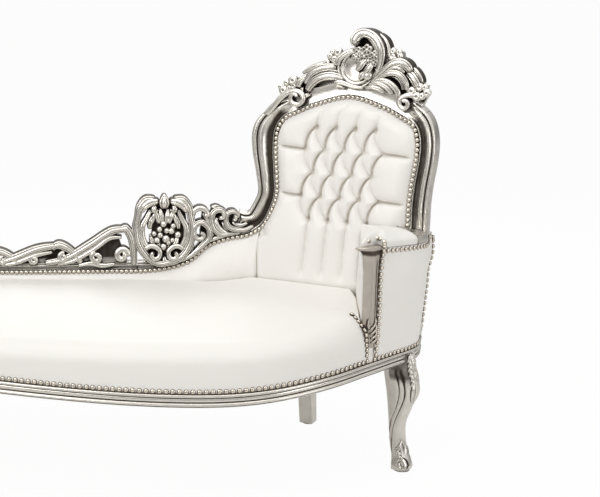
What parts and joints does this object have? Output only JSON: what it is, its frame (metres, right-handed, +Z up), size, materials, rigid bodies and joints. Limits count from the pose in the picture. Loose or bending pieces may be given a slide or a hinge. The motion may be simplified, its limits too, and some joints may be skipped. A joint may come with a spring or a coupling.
{
  "type": "chaise_longue",
  "caption": "Carved chaise longue with a tufted high back at one end, a low carved back along the rear, one closed arm and a long seat with a rounded foot end, on cabriole legs",
  "frame": {"origin": "on the floor, under the middle of the overall box", "axes": "+X towards the head end with the high back and the arm, +Y towards the rear, where the low back is, +Z up"},
  "size_m": [1.708, 0.7901, 1.0897],
  "materials": {
    "silvered_wood": "carved wood with rubbed silver leaf and dark patina in the hollows",
    "upholstery": "white smooth leather-like covering, satin",
    "nail_metal": "pale polished domed nail heads",
    "bare_wood": "plain sawn wood, hidden inside",
    "webbing": "woven jute-like straps",
    "felt": "dark felt glides"
  },
  "bodies": {
    "root": {"front_rail": "silvered_wood", "left_end_rail": "silvered_wood", "right_side_rail": "silvered_wood", "rear_rail": "silvered_wood", "head_rail": "silvered_wood", "corner_blocks": "bare_wood", "front_right_leg": "silvered_wood", "front_left_leg": "silvered_wood", "rear_right_leg": "silvered_wood", "rear_left_leg": "silvered_wood", "leg_glides": "felt", "seat_webbing": "webbing", "seat_cushion": "upholstery", "crest_rail": "silvered_wood", "left_stile": "silvered_wood", "right_stile": "silvered_wood", "low_back_rail": "silvered_wood", "cartouche_rail": "silvered_wood", "tail_rail": "silvered_wood", "back_posts": "bare_wood", "high_back_panel": "upholstery", "low_back_panel": "upholstery", "high_back_cover": "upholstery", "low_back_cover": "upholstery", "arm_post": "silvered_wood", "arm_rail": "bare_wood", "arm_pad": "upholstery", "arm_outer_panel": "upholstery", "arm_inner_panel": "upholstery", "seat_nails": "nail_metal", "high_back_nails": "nail_metal", "low_back_nails": "nail_metal", "arm_nails": "nail_metal"}
  },
  "joints": []
}
